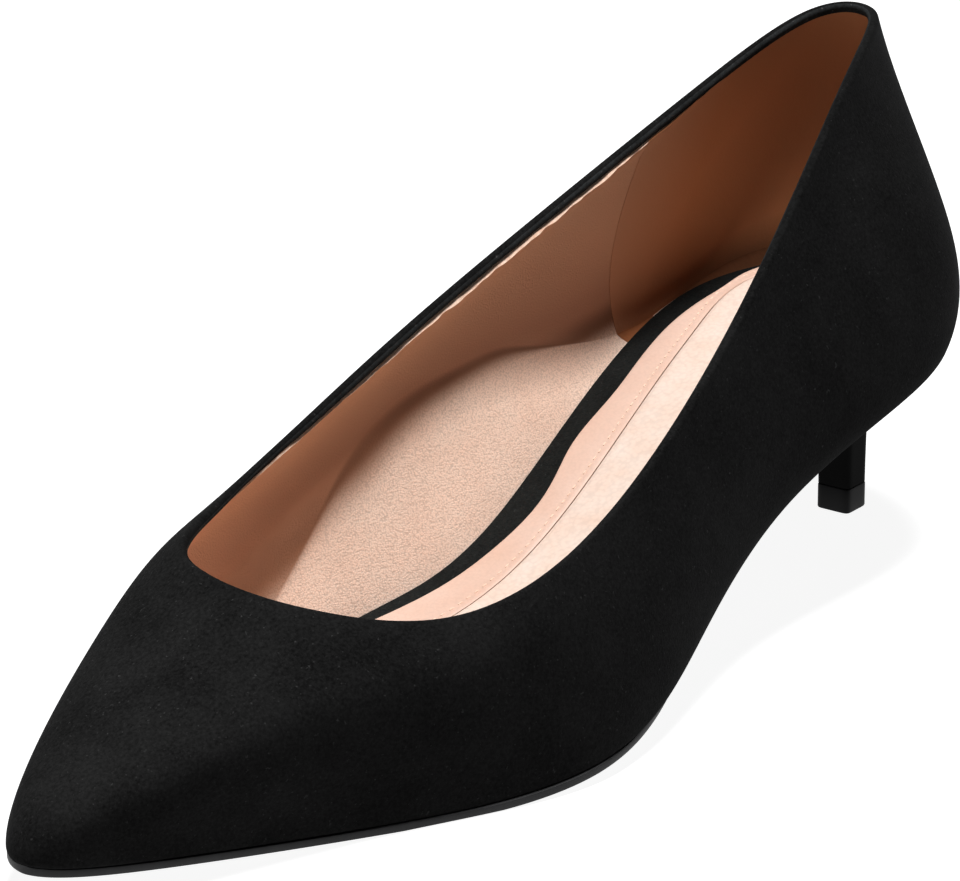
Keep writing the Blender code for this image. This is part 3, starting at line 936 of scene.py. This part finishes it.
@dataclass
class Upper:
    """The whole-cut suede upper with its rolled topline, and the linings trimmed just below it."""

    around: int = 320
    wall_rows: int = 44
    inner_rows: int = 24
    lining_around: int = 640
    lining_rows: int = 34
    suede_depth: float = 1.6
    rim_depth: float = 2.1
    rim_thinned: float = 0.6
    rim_fade: float = 1.6
    corner_place: float = 10.75
    corner_reach: float = 0.5
    lining_depth: float = 1.8
    heel_lining_proud: float = 0.12
    heel_lining_back: float = 0.02
    heel_lining_lap: float = 0.4
    heel_lining_ends: Pair = (13.6, 18.4)
    foot_shares: Table = (
        (0.0, 0.09), (3.0, 0.12), (5.0, 0.28), (10.0, 0.2), (11.0, 0.1), (11.35, 0.22), (11.52, 0.41),
        (11.66, 0.58), (11.82, 0.68), (12.0, 0.71), (12.18, 0.69), (12.36, 0.65), (12.56, 0.6), (12.78, 0.53),
        (13.0, 0.41), (13.22, 0.28), (13.42, 0.17), (13.6, 0.1), (14.5, 0.08),
    )
    foot_bends: Table = (
        (0.0, 0.17), (8.0, 0.17), (10.6, 0.24), (11.3, 0.34), (11.6, 0.28), (11.9, 0.25), (12.3, 0.23), (13.0, 0.2),
        (14.5, 0.17),
    )
    foot_rows: int = 20
    roll_radius: float = 0.8
    roll_turns: Tuple[float, ...] = (22.5, 45.0, 67.5, 90.0, 112.5, 135.0, 157.5)
    # The roll's row from which the rim takes the greyer suede, painted sheen on the rolled top
    painted_sheen_from: int = 4
    trim_below_top: float = 1.9
    trim_at_throat: float = -0.6
    # Waves of the trimmed edge, each its height, its radians for each rib and its start
    trim_waves: Tuple[Triple, ...] = ((0.10666667, 9.7, 0.0), (0.07466667, 23.3, 1.0), (0.05333333, 51.1, 2.0))
    skive: float = 0.25
    edge_puff: Table = (
        (0.0, 0.0), (10.0, 0.0), (10.9, 0.3), (11.4, 0.5), (12.0, 0.9), (13.3, 0.95), (13.9, 0.3), (14.2, 0.0),
    )
    edge_puff_reach: float = 2.2
    edge_fray: float = 0.16
    edge_fray_limits: Pair = (0.4, 1.6)
    edge_fray_seed: int = 5
    turn_under: float = 0.5
    turn_shares: Tuple[float, ...] = (0.0, 0.33, 0.67)
    lasting_margin: float = 5.0
    lining_foot: float = 2.6
    lining_sunk: float = 0.7
    lining_glue: float = 0.04
    lining_back_rows: int = 16

    def column_shares(self, low: np.ndarray, high: np.ndarray, rows: int) -> np.ndarray:
        """Returns shares from low to high on every rib, one row after another."""
        steps = np.linspace(0.0, 1.0, rows)[:, None]
        return low + (high - low) * steps

    def share_below_top(self, ring: RibRing, distance: Union[float, np.ndarray]) -> np.ndarray:
        """Returns the share of each rib that lies this far below the topline along the wall."""
        return 1.0 - distance / (3.0 * ring.top_pull)

    def share_over_foot(self, ring: RibRing, distance: float) -> np.ndarray:
        """Returns the share of each rib that lies this far above the feather line along the wall."""
        return distance / (3.0 * ring.foot_pull)

    def build_suede(self) -> Object:
        """Builds the suede as one closed skin from the lasting margin over the rolled topline and back."""
        ring = LAST.ring(self.around)
        plan, out = LAST.plan(ring)
        low = self.share_over_foot(ring, self.turn_under)
        high = self.share_below_top(ring, self.roll_radius)
        outer = LAST.wall_points(ring, self.column_shares(low, high, self.wall_rows), 0.0)
        inside = self.column_shares(high, low, self.inner_rows)
        below = (inside[:1] - inside) * 3.0 * ring.top_pull
        rim = self.rim_depth - self.rim_thinned * self.near_corner(LAST.places(self.around))
        thick = self.suede_depth + (rim - self.suede_depth) * np.exp(-((below / self.rim_fade) ** 2))
        inner = LAST.wall_points(ring, inside, thick)
        rows = [
            LAST.raised(plan - out * self.lasting_margin, self.suede_depth),
            LAST.raised(plan - out * self.lasting_margin, 0.0),
            LAST.raised(plan - out * 2.0 * self.turn_under, 0.0),
        ]
        corner, under = LAST.raised(plan, 0.0), LAST.raised(plan - out * self.turn_under, 0.0)
        for share in self.turn_shares:
            rest = 1.0 - share
            rows.append(rest**2 * under + 2.0 * rest * share * corner + share**2 * outer[0])
        rows.extend(outer)
        # From here the rim takes the greyer suede, painted sheen on the rolled top
        inward = len(rows) + self.painted_sheen_from
        rows.extend(self.rolled_edge(outer, inner))
        rim_end = len(rows) + 1
        rows.extend(inner)
        materials = [SUEDE.material(), RIM_PAINTED_SHEEN_SUEDE.material()]
        on_rim = range(inward, rim_end)
        return loft("upper_suede", rows, materials, close_rows=True, row_material=lambda row: int(row in on_rim))

    def rolled_edge(self, outer: np.ndarray, inner: np.ndarray) -> List[np.ndarray]:
        """Rounds the topline between the outer and the inner face.

        Args:
            outer: rows of the outer face, upwards.
            inner: rows of the inner face, downwards.

        Returns:
            The rows between them.
        """
        rise = outer[-1] - outer[-2]
        rise /= np.linalg.norm(rise, axis=1, keepdims=True)
        middle, reach = 0.5 * (outer[-1] + inner[0]), 0.5 * (outer[-1] - inner[0])
        turns = np.radians(self.roll_turns)
        return [middle + reach * math.cos(turn) + rise * self.roll_radius * math.sin(turn) for turn in turns]

    def near_corner(self, places: np.ndarray) -> np.ndarray:
        """Returns a share for these rib places that is one at the throat's inner corner and falls off around it."""
        return np.exp(-(((places - self.corner_place) / self.corner_reach) ** 2))

    def trim(self, places: np.ndarray) -> np.ndarray:
        """Returns how far below the topline the lining was trimmed, a little unevenly, at these rib places."""
        waver = sum(height * np.sin(turns * places + start) for height, turns, start in self.trim_waves)
        return self.trim_below_top + self.trim_at_throat * self.near_corner(places) + waver

    def frayed(self, table: Table, count: int) -> np.ndarray:
        """Returns a table read around the shoe, made ragged like a cut edge of leather."""
        smooth = np.maximum(0.0, LAST.read(table, count))
        ragged = np.random.default_rng(self.edge_fray_seed).normal(0.0, 1.0, count)
        ragged = 0.5 * ragged + 0.25 * (np.roll(ragged, 1) + np.roll(ragged, -1))
        return smooth * np.clip(1.0 + self.edge_fray * ragged, *self.edge_fray_limits)

    def lining_face(self, ring: RibRing, trim: np.ndarray, raised: float) -> List[np.ndarray]:
        """Places the face of a lining, down the wall and then in a soft curve to the insole's edge.

        Args:
            ring: the ribs around the shoe.
            trim: how far below the topline the face begins.
            raised: how far the face stands off the lining's own face.

        Returns:
            Rows of points from the top down.
        """
        low, turn = LAST.read(self.foot_shares, len(trim)), LAST.read(self.foot_bends, len(trim))
        shares = self.column_shares(self.share_below_top(ring, trim), low, self.lining_rows)
        below = (shares[:1] - shares) * 3.0 * ring.top_pull
        puff = self.frayed(self.edge_puff, len(trim)) * np.exp(-((below / self.edge_puff_reach) ** 2))
        rows = list(LAST.wall_points(ring, shares, self.lining_depth + raised + puff))
        start, down = rows[-1], rows[-1] - rows[-2]
        down /= np.linalg.norm(down, axis=1, keepdims=True)
        footbed = Footbed()
        edge, out = footbed.edge_ring(ring)
        level = footbed.insole_top() - self.lining_sunk + raised
        foot = LAST.raised(edge + out * (footbed.insole_room - raised), level)
        bend = start + down * (turn * np.linalg.norm(foot - start, axis=1))[:, None]
        for share in np.linspace(0.0, 1.0, self.foot_rows + 1)[1:]:
            rest = 1.0 - share
            rows.append(rest**2 * start + 2.0 * rest * share * bend + share**2 * foot)
        return rows

    def build_lining(self) -> Object:
        """Builds the lining with its pale raw edge, from just below the topline down to the insole."""
        ring = LAST.ring(self.lining_around)
        trim = self.trim(LAST.places(self.lining_around))
        low = self.share_over_foot(ring, self.lining_foot)
        back = self.column_shares(low, self.share_below_top(ring, trim - self.skive), self.lining_back_rows)
        rows = self.lining_face(ring, trim, 0.0)
        rows.extend(LAST.wall_points(ring, back, self.suede_depth + self.lining_glue))
        last_row = len(rows) - 1
        materials = [LINING.material(), LINING_EDGE.material()]
        return loft("lining", rows, materials, close_rows=True, row_material=lambda row: int(row == last_row))

    def build_heel_lining(self) -> Object:
        """Builds the back lining, a thin piece laid over the lining around the heel with its two edges in sight."""
        ring = LAST.ring(self.lining_around)
        first, last = (round(end * self.lining_around / len(LAST.ribs)) for end in self.heel_lining_ends)
        columns = np.arange(first, last + 1) % self.lining_around
        trim = self.trim(LAST.places(self.lining_around)) - self.heel_lining_lap
        face = self.lining_face(ring, trim, self.heel_lining_proud)
        back = self.lining_face(ring, trim, self.heel_lining_back)
        rows = [np.vstack([front[columns], rear[columns][::-1]]) for front, rear in zip(face, back)]
        return loft("heel_lining", rows, [HEEL_LINING.material()], close_rows=False)

    def dress(self) -> None:
        """Builds the skins and rides them on the shoe."""
        dress(self.build_suede(), "upper")
        dress(self.build_lining())
        dress(self.build_heel_lining())


@dataclass
class Footbed:
    """What the foot stands on: the covered insole and the two-part padded sock with its row of stitches."""

    around: int = 320
    stations: int = 150
    insole_thickness: float = 2.0
    insole_room: float = 0.1
    insole_round: Pair = (0.3, 0.25)
    insole_undercut: float = 0.8
    insole_reach: Pair = (14.0, 8.0)
    toe_narrows: float = 22.0
    toe_least: float = 0.3
    insole_edge: Table = (
        (0.0, 1.2), (2.0, 1.3), (4.0, 1.4), (5.0, 1.9), (7.0, 1.8), (7.5, 1.9), (8.0, 2.9), (8.5, 3.0), (9.0, 2.1),
        (10.0, 1.8), (11.0, 1.3), (11.6, 0.4), (11.85, 0.3), (12.0, 1.1), (12.2, 1.7), (12.6, 1.7), (13.0, 2.0),
        (13.5, 2.0), (14.0, 1.9), (14.5, 2.3), (15.0, 2.0),
    )
    sock_edge: Table = (
        (0.0, 3.2), (1.0, 3.6), (2.0, 4.2), (3.0, 4.6), (4.0, 4.8), (5.0, 5.0), (6.0, 4.8), (7.0, 4.6), (8.0, 5.6),
        (8.5, 5.6), (9.0, 5.0), (10.0, 4.8), (11.0, 4.4), (11.5, 4.7), (11.8, 5.7), (12.0, 7.0), (12.25, 8.3),
        (12.5, 9.2), (12.65, 8.5), (12.83, 7.4), (13.0, 7.9), (13.15, 8.6), (13.4, 8.5), (13.7, 8.3), (14.0, 9.0),
        (14.25, 9.1), (14.6, 7.2), (14.9, 5.8), (15.4, 3.9),
    )
    seam_edge: Table = (
        (0.0, 6.6), (1.0, 7.6), (2.0, 9.0), (3.0, 10.0), (4.0, 11.0), (5.0, 11.0), (6.0, 9.6), (7.0, 8.0),
        (8.0, 7.4), (8.5, 7.4), (9.0, 8.0), (10.0, 10.0), (11.0, 14.0), (11.5, 15.8), (12.0, 16.2), (12.5, 15.8),
        (13.0, 15.9), (13.4, 15.4), (13.7, 14.5), (14.0, 12.9), (14.4, 11.2), (15.0, 8.8),
    )
    sock_glue: float = 0.05
    border_thickness: float = 1.7
    # The border's rounded edge as insets and drops, in shares of its rounding
    border_edge: Table = ((0.0, 1.0), (0.12, 0.55), (0.4, 0.2), (1.0, 0.0))
    # The border under the stitches, as shares of their distance from the seam and rises in millimetres
    stitch_groove: Table = ((2.0, 0.1), (1.35, 0.0), (1.0, -0.1), (0.7, 0.0))
    # The border's side of the seam, as distances from it and rises in millimetres
    seam_groove: Table = ((0.4, -0.06), (0.2, -0.2))
    seam_gap: float = 0.15
    # How wide the border has to be for its grooves, in distances of the stitches from the seam
    groove_room: float = 2.6
    pad_thickness: float = 1.9
    pad_crown: float = 0.7
    pad_full_width: float = 36.0
    pad_rolls: Tuple[float, ...] = (0.0, 0.12, 0.35, 0.8, 1.8, 4.0)
    pad_columns: int = 9
    edge_round: float = 0.6
    seam_depth: float = 0.4
    seam_roll: float = 1.0
    stitch_from_seam: float = 1.8
    stitch_sunk: float = 0.1
    stitch_reach: float = 90.0
    stitch_length: float = 1.35
    stitch_pitch: float = 2.1
    thread: float = 0.46
    thread_sides: int = 6
    thread_dips: Tuple[Triple, ...] = (
        (0.0, 0.28, 0.55), (0.14, 0.06, 0.95), (0.5, 0.0, 1.0), (0.86, 0.06, 0.95), (1.0, 0.28, 0.55)
    )

    def insole_top(self) -> float:
        """Returns the distance of the insole's face from the feather line."""
        return LAST.wall + LAST.gap + self.insole_thickness

    def sock_foot(self) -> float:
        """Returns the distance of the sock's underside from the feather line."""
        return self.insole_top() + self.sock_glue

    def inset(self, ring: RibRing, table: Table) -> np.ndarray:
        """Returns the feather line's plan drawn in by a table of distances by rib."""
        plan, out = LAST.plan(ring)
        return plan - out * LAST.read(table, len(plan))[:, None]

    def edge_ring(self, ring: RibRing) -> Tuple[np.ndarray, np.ndarray]:
        """Finds the edge of the insole's face, close to the lining.

        Args:
            ring: the ribs around the shoe.

        Returns:
            Its plan points, and their directions out of the shoe.
        """
        _points, out = LAST.plan(ring)
        return self.inset(ring, self.insole_edge) - out * self.insole_room, out

    def stations_of(self, plan: np.ndarray) -> List[Triple]:
        """Returns stations along an outline, each its place, its inner edge and its outer edge."""
        back, toe = plan[:, 0].min(), plan[:, 0].max()
        turns = np.linspace(0.0, math.pi, self.stations)
        places = back + (toe - back) * 0.5 * (1.0 - np.cos(turns))
        return list(zip(places, *edges_at(plan, places)))

    def build_insole(self) -> Object:
        """Builds the black covered insole, whose edge meets the lining."""
        ring = LAST.ring(self.around)
        edge, out = self.edge_ring(ring)
        lower = edge - out * self.insole_undercut
        top, foot = self.insole_top(), self.insole_top() - self.insole_thickness
        rows = [
            LAST.raised(edge - out * self.insole_reach[0] * self.toe_share(ring), top),
            LAST.raised(edge - out * self.insole_round[0], top),
            LAST.raised(edge, top - self.insole_round[1]),
            LAST.raised(lower, foot),
            LAST.raised(lower - out * self.insole_reach[1] * self.toe_share(ring), foot),
        ]
        return loft("insole_cover", rows, [INSOLE_SUEDE.material()], close_rows=True)

    def toe_share(self, ring: RibRing) -> np.ndarray:
        """Returns a share for each rib that falls towards the toe's tip, where the shoe is narrow."""
        return np.clip((100.0 - ring.foot_x) / self.toe_narrows, self.toe_least, 1.0)[:, None]

    def outlines(self, ring: RibRing) -> Tuple[np.ndarray, np.ndarray, np.ndarray]:
        """Finds the sock's outlines.

        Args:
            ring: the ribs around the shoe.

        Returns:
            The plan of its edge, the plan of the seam between border and pad, and the directions out of the shoe.
        """
        _points, out = LAST.plan(ring)
        return self.inset(ring, self.sock_edge), self.inset(ring, self.seam_edge), out

    def build_border(self) -> Object:
        """Builds the smooth border of the sock, rounded at its edge and sunk along the stitches and the seam."""
        ring = LAST.ring(self.around)
        sock, seam, out = self.outlines(ring)
        foot, top = self.sock_foot(), self.sock_foot() + self.border_thickness
        width = np.linalg.norm(sock - seam, axis=1, keepdims=True)
        rows = [LAST.raised(sock, foot)]
        for inset, drop in self.border_edge:
            rows.append(LAST.raised(sock - out * inset * self.edge_round, top - drop * self.edge_round))
        beside = [(share * self.stitch_from_seam, top + rise) for share, rise in self.stitch_groove]
        beside += [(distance, top + rise) for distance, rise in self.seam_groove] + [(self.seam_gap, foot)]
        room = np.minimum(1.0, width / (self.groove_room * self.stitch_from_seam))
        rows.extend(LAST.raised(seam + out * distance * room, height) for distance, height in beside)
        return loft("sock_border", rows, [SOCK_KID.material()], close_rows=True)

    def build_pad(self) -> Object:
        """Builds the padded middle of the sock, crowned and rolled down into the seam."""
        ring = LAST.ring(self.around)
        _sock, seam, _out = self.outlines(ring)
        foot = self.sock_foot()
        sections = []
        rolls = np.array(self.pad_rolls)
        for place, inner, outer in self.stations_of(seam):
            width = outer - inner
            inset = np.minimum(rolls, 0.5 * width * rolls / rolls[-1])
            middle = np.linspace(inset[-1], width - inset[-1], self.pad_columns)[1:-1]
            across = np.concatenate([inset, middle, (width - inset)[::-1]])
            near = np.minimum(across, width - across)
            rolled = self.seam_depth * np.clip(1.0 - near / self.seam_roll, 0.0, 1.0) ** 2
            share = across / max(width, 1e-6)
            crown = self.pad_crown * np.sin(np.pi * np.clip(share, 0.0, 1.0)) * min(1.0, width / self.pad_full_width)
            height = foot + self.pad_thickness + crown - rolled
            along = np.full_like(across, place)
            top = np.column_stack([along, inner + across, LAST.level(along, height)])
            base = LAST.level(along[:1], foot)[0]
            sections.append(np.vstack([[place, inner, base], top, [place, outer, base]]))
        return loft("sock_pad", sections, [SOCK_NUBUCK.material()], close_rows=False)

    def build_stitches(self) -> Object:
        """Builds the row of lockstitches along the border's side of the seam."""
        ring = LAST.ring(self.around * 4)
        _sock, seam, out = self.outlines(ring)
        level = self.sock_foot() + self.border_thickness - self.stitch_sunk
        path = LAST.raised(seam + out * self.stitch_from_seam, level)
        path = path[ring.foot_x < self.stitch_reach]
        path = np.vstack([path, path[:1]])
        steps = np.linalg.norm(np.diff(path, axis=0), axis=1)
        run = np.concatenate([[0.0], np.cumsum(steps)])
        build = bmesh.new()
        for start in np.arange(0.0, run[-1] - self.stitch_length, self.stitch_pitch):
            ends = (start, start + self.stitch_length)
            first, last = np.column_stack([np.interp(ends, run, side) for side in path.T])
            self.add_stitch(build, first, last)
        return finish_mesh(build, "sock_stitches", [THREAD.material()])

    def add_stitch(self, build: bmesh.types.BMesh, first: np.ndarray, last: np.ndarray) -> None:
        """Adds one stitch, a short thread that dips into the leather at both ends.

        Args:
            build: the mesh that takes it.
            first: where the thread comes up.
            last: where it goes down.
        """
        along = (last - first) / np.linalg.norm(last - first)
        side = np.cross([0.0, 0.0, 1.0], along)
        side /= np.linalg.norm(side)
        over = np.cross(along, side)
        turns = np.linspace(0.0, 2.0 * math.pi, self.thread_sides + 1)[:-1, None]
        rings = []
        for share, drop, girth in self.thread_dips:
            middle = first + (last - first) * share - over * drop
            points = middle + 0.5 * self.thread * girth * (np.cos(turns) * side + np.sin(turns) * over)
            rings.append([build.verts.new(point) for point in LAST.to_frame(points)])
        for one, two in zip(rings, rings[1:]):
            for j in range(self.thread_sides):
                build.faces.new((one[j - 1], one[j], two[j], two[j - 1]))
        build.faces.new(rings[0][::-1])
        build.faces.new(rings[-1])

    def dress(self) -> None:
        """Builds the footbed's pieces and rides them on the shoe."""
        dress(self.build_insole(), "insole")
        border = dress(self.build_border(), "sock")
        pad = dress(self.build_pad())
        dress(self.build_stitches())


@dataclass(frozen=True)
class HeelLevel:
    """A level of the heel: its share of the height, and how far it stands out past the tip on each side."""

    share: float
    back: float
    breast: float
    outer: float
    inner: float
    back_square: float
    breast_square: float

    def numbers(self) -> List[float]:
        """Returns the level's sizes in the order of its fields."""
        return list(vars(self).values())


@dataclass
class Bottom:
    """What the shoe stands on: the outsole, the slim heel and its top lift."""

    stations: int = 200
    outline_points: int = 1536
    thickness: float = 1.3
    sole_lift: float = 0.2
    edge_round: float = 0.3
    top_round: float = 0.25
    toe_ease: float = 0.4
    breast_x: float = 57.0
    seat_inset: float = 1.4
    tip_width: float = 7.5
    tip_depth: float = 7.0
    lift_height: float = 5.2
    lift_proud: float = 0.05
    lift_edge: float = 0.35
    # The lift's shoulder as drops below its top and insets
    lift_shoulder: Table = ((0.25, 0.0), (0.05, 0.08), (0.0, 0.25))
    ring_points: int = 96
    steps: int = 6
    levels: Tuple[HeelLevel, ...] = (
        HeelLevel(0.00, 0.0, 0.0, 0.0, 0.0, 8.0, 8.0),
        HeelLevel(0.20, 0.1, 0.2, 0.1, 0.1, 7.5, 7.5),
        HeelLevel(0.42, 0.4, 0.8, 0.3, 0.3, 6.5, 6.5),
        HeelLevel(0.62, 1.1, 3.2, 1.0, 1.0, 5.0, 5.0),
        HeelLevel(0.76, 2.2, 10.0, 4.4, 4.2, 3.8, 4.2),
        HeelLevel(0.88, 3.6, 24.0, 13.0, 12.0, 3.0, 4.5),
        HeelLevel(0.955, 4.5, 34.0, 21.6, 19.4, 2.7, 5.5),
        HeelLevel(0.985, 4.8, 37.9, 26.4, 23.4, 2.6, 6.6),
        HeelLevel(1.00, 4.9, 38.3, 26.9, 23.9, 2.6, 7.0),
    )

    def build_outsole(self) -> Object:
        """Builds the thin outsole with its eased edges."""
        ring = LAST.ring(self.outline_points)
        plan, out = LAST.plan(ring)
        edge = plan + out * ring.sole_out[:, None]
        turns = np.linspace(0.5 * math.pi, math.pi, self.stations)
        places = self.breast_x + (edge[:, 0].max() - self.breast_x) * -np.cos(turns)
        sections = [self.outsole_section(*station) for station in zip(places, *edges_at(edge, places))]
        return loft("outsole_slab", sections, [SOLE_RUBBER.material()], close_rows=False)

    def outsole_section(self, place: float, inner: float, outer: float) -> np.ndarray:
        """Cuts the outsole across.

        Args:
            place: the place along the shoe.
            inner: the inner edge.
            outer: the outer edge.

        Returns:
            The section's points.
        """
        at = np.array([place, place])
        top, low = LAST.level(at, np.array([-LAST.gap + self.sole_lift, -LAST.gap - self.thickness]))
        bottom = max(0.0, float(low))
        ease = min(1.0, self.toe_ease * (outer - inner))
        lower, upper = self.edge_round, self.top_round
        side = [
            (lower * ease, bottom),
            (ROUND * lower * ease, bottom + ROUND * lower),
            (0.0, bottom + lower),
            (0.0, top - upper),
            (ROUND * upper * ease, top - ROUND * upper),
            (upper * ease, top),
        ]
        points = [(place, outer - inset, height) for inset, height in side]
        points += [(place, inner + inset, height) for inset, height in reversed(side)]
        return np.array(points)

    def squared_ring(self, level: HeelLevel, half_width: float, back: float, breast: float) -> np.ndarray:
        """Draws one level of the heel in plan.

        Args:
            level: the level's sizes.
            half_width: the tip's half width.
            back: the place of the tip's back.
            breast: the place of the tip's breast.

        Returns:
            Plan points, an ellipse squared off at its corners.
        """
        turns = 2.0 * math.pi * np.arange(self.ring_points) / self.ring_points
        cosines, sines = np.cos(turns), np.sin(turns)
        power = np.where(cosines > 0.0, level.breast_square, level.back_square)
        scale = (np.abs(cosines) ** power + np.abs(sines) ** power) ** (-1.0 / power)
        rear, front = back - level.back, breast + level.breast
        x = 0.5 * (front + rear) + 0.5 * (front - rear) * cosines * scale
        reach = np.where(sines > 0.0, half_width + level.outer, half_width + level.inner)
        return np.column_stack([x, LAST.heel_tip_y + reach * sines * scale])

    def build_heel(self) -> Object:
        """Builds the lacquered heel from its tip to its seat."""
        foot = self.lift_height + LAST.gap * 0.5
        table = np.array([level.numbers() for level in self.levels])
        steps = np.linspace(0, len(table) - 1, self.steps * (len(table) - 1) + 1)
        back, breast = LAST.heel_tip_x - 0.5 * self.tip_depth, LAST.heel_tip_x + 0.5 * self.tip_depth
        outline, out = LAST.plan(LAST.ring(self.outline_points))
        rows = []
        for numbers in spline(np.arange(len(table)), table, steps):
            level = HeelLevel(*numbers)
            plan = self.squared_ring(level, 0.5 * self.tip_width, back, breast)
            plan[:, 1] = np.clip(plan[:, 1], *edges_at(outline - out * self.seat_inset, plan[:, 0]))
            seat = LAST.level(plan[:, 0], -LAST.gap)
            rows.append(np.column_stack([plan, foot + level.share * (seat - foot)]))
        return loft("heel_post", rows, [HEEL_LACQUER.material()], close_rows=False)

    def build_lift(self) -> Object:
        """Builds the top lift, eased at both edges."""
        half_width = 0.5 * self.tip_width + self.lift_proud
        half_depth = 0.5 * self.tip_depth + self.lift_proud
        edge = self.lift_edge
        profile = [(0.0, edge), (ROUND * edge, ROUND * edge), (edge, 0.0)]
        profile += [(self.lift_height - drop, inset) for drop, inset in self.lift_shoulder]
        rows = []
        for height, eased in profile:
            back, breast = LAST.heel_tip_x - half_depth + eased, LAST.heel_tip_x + half_depth - eased
            plan = self.squared_ring(self.levels[0], half_width - eased, back, breast)
            rows.append(np.column_stack([plan, np.full(len(plan), height)]))
        return loft("top_lift_block", rows, [LIFT_RUBBER.material()], close_rows=False)

    def dress(self) -> None:
        """Builds the bottom's pieces and rides them on the shoe."""
        dress(self.build_outsole(), "outsole")
        dress(self.build_heel(), "heel")
        dress(self.build_lift(), "top_lift")


@dataclass
class Studio:
    """The pale floor, the soft light and the camera at the photograph's angle."""

    floor_size: float = 40.0
    floor_drop: float = 0.0002
    softbox_place: Triple = (0.05, 0.35, 3.0)
    softbox_aim: Triple = (0.0, 0.0, 0.05)
    softbox_size: float = 0.6
    softbox_watts: float = 122.0
    azimuth: float = 36.98
    elevation: float = 20.25
    distance_mm: float = 867.0
    aim_mm: Triple = (124.5, -5.9, 45.1)
    roll: float = -0.41
    focal_mm: float = 179.2
    sensor_mm: float = 36.0
    world: float = 0.03
    film_gamma: float = 0.82

    def build_floor(self) -> None:
        """Lays the light table under the shoe."""
        build = bmesh.new()
        bmesh.ops.create_grid(build, x_segments=1, y_segments=1, size=0.5 * self.floor_size)
        floor = finish_mesh(build, "studio_floor", [LightTable().material()])
        floor.location.z = -self.floor_drop

    def build_world(self) -> None:
        """Fills the studio with even white light."""
        world = bpy.data.worlds.new("studio")
        world.use_nodes = True
        background = world.node_tree.nodes["Background"]
        background.inputs["Color"].default_value = grey(1.0)
        background.inputs["Strength"].default_value = self.world
        bpy.context.scene.world = world

    def hang_softbox(self) -> None:
        """Hangs a square softbox over the shoe."""
        lamp = bpy.data.lights.new("overhead", "AREA")
        lamp.shape = "SQUARE"
        lamp.size = self.softbox_size
        lamp.energy = self.softbox_watts
        holder = bpy.data.objects.new("overhead", lamp)
        holder.location = self.softbox_place
        away = Vector(self.softbox_aim) - Vector(self.softbox_place)
        holder.rotation_euler = away.to_track_quat("-Z", "Y").to_euler()
        bpy.context.scene.collection.objects.link(holder)

    def build_camera(self) -> None:
        """Sets the camera where the photograph was taken from."""
        turn, tip = math.radians(self.azimuth), math.radians(self.elevation)
        away = Vector((math.cos(turn) * math.cos(tip), math.sin(turn) * math.cos(tip), math.sin(tip)))
        aim = Vector(LAST.to_frame(np.array(self.aim_mm)))
        lens = bpy.data.cameras.new("photo_camera")
        lens.lens = self.focal_mm
        lens.sensor_width = self.sensor_mm
        lens.sensor_fit = "HORIZONTAL"
        lens.clip_start = 0.01
        camera = bpy.data.objects.new("photo_camera", lens)
        camera.location = aim + away * self.distance_mm * MM
        level = (-away).to_track_quat("-Z", "Y")
        camera.rotation_euler = (level @ Quaternion((0.0, 0.0, 1.0), math.radians(self.roll))).to_euler()
        bpy.context.scene.collection.objects.link(camera)
        bpy.context.scene.camera = camera

    def set_film(self) -> None:
        """Gives the picture plain colours with the slightly hard contrast of the photograph."""
        film = bpy.context.scene.view_settings
        film.view_transform = "Standard"
        film.gamma = self.film_gamma

    def build(self) -> None:
        """Builds the studio."""
        self.build_floor()
        self.build_world()
        self.hang_softbox()
        self.build_camera()
        self.set_film()


def main() -> None:
    """Dresses the shoe and sets up the studio."""
    logging.basicConfig(level=logging.INFO, format="%(name)s %(message)s")
    Upper().dress()
    Footbed().dress()
    Bottom().dress()
    Studio().build()


if __name__ == "__main__":
    main()
